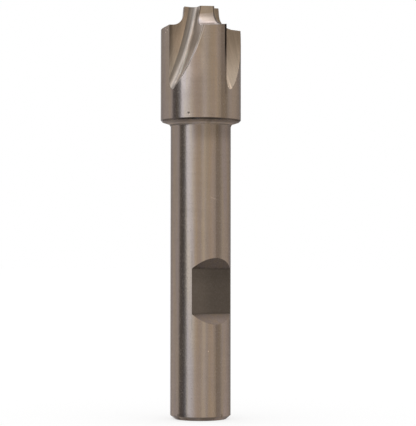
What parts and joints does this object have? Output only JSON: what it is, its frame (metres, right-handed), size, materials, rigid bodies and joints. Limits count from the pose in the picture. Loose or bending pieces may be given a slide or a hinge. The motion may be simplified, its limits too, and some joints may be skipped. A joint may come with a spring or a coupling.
{
  "type": "corner rounding end mill",
  "caption": "Corner rounding end mill with a concave quarter-round cutting form, straight flutes and a cylindrical shank with a clamping flat.",
  "frame": {"origin": "centre of the shank's end face, which the tool stands on", "axes": "+Z along the tool's axis from the shank end to the cutting tip; -Y is the outward normal of the clamping flat; +X completes a right-handed frame"},
  "size_m": [0.0126, 0.0126, 0.0648],
  "materials": {
    "tool_steel": "ground, warm grey-brown"
  },
  "bodies": {
    "root": {"end_mill": "tool_steel"}
  },
  "joints": []
}
